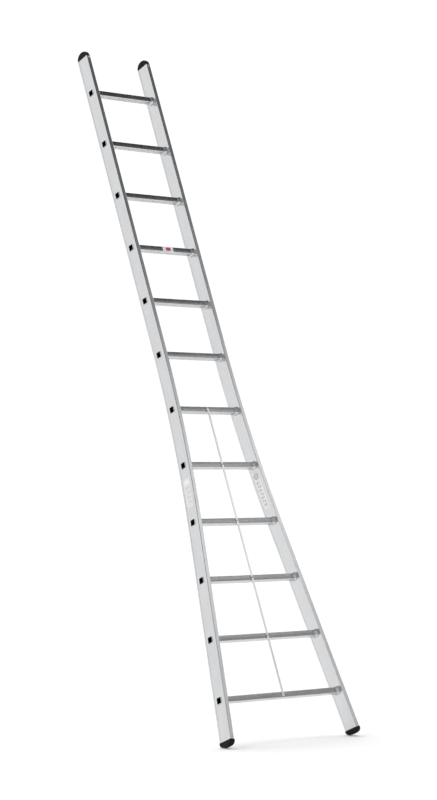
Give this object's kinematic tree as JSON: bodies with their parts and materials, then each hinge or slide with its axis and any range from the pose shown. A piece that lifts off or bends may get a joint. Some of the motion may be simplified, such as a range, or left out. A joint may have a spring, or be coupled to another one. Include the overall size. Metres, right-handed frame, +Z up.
{
  "type": "single-section leaning ladder",
  "caption": "Aluminium leaning ladder with ribbed square rungs, splayed lower stiles, a centre stay and black plastic end caps and feet.",
  "frame": {"origin": "on the floor under the middle of the bounding box; the ladder leans back 22 degrees from upright with its feet on z = 0", "axes": "+Z up, +X along the rungs to the right of someone about to climb, +Y the way the ladder leans, towards the wall"},
  "size_m": [0.7944, 1.3762, 3.2738],
  "materials": {
    "stile_aluminium": "satin extruded",
    "rung_aluminium": "satin extruded, finely ribbed",
    "stay_aluminium": "satin",
    "black_plastic": "moulded, slightly glossy",
    "rivet_metal": "plain"
  },
  "bodies": {
    "root": {"left_stile": "stile_aluminium", "right_stile": "stile_aluminium", "rung_01": "rung_aluminium", "rung_02": "rung_aluminium", "rung_03": "rung_aluminium", "rung_04": "rung_aluminium", "rung_05": "rung_aluminium", "rung_06": "rung_aluminium", "rung_07": "rung_aluminium", "rung_08": "rung_aluminium", "rung_09": "rung_aluminium", "rung_10": "rung_aluminium", "rung_11": "rung_aluminium", "rung_12": "rung_aluminium", "top_cap_left": "black_plastic", "top_cap_right": "black_plastic", "foot_left": "black_plastic", "foot_right": "black_plastic", "centre_stay": "stay_aluminium", "top_cap_left_rivet": "rivet_metal", "top_cap_right_rivet": "rivet_metal", "foot_left_rivet": "rivet_metal", "foot_right_rivet": "rivet_metal", "stay_rivet_1": "rivet_metal", "stay_rivet_2": "rivet_metal", "stay_rivet_3": "rivet_metal", "stay_rivet_4": "rivet_metal", "stay_rivet_5": "rivet_metal", "stay_rivet_6": "rivet_metal"}
  },
  "joints": []
}
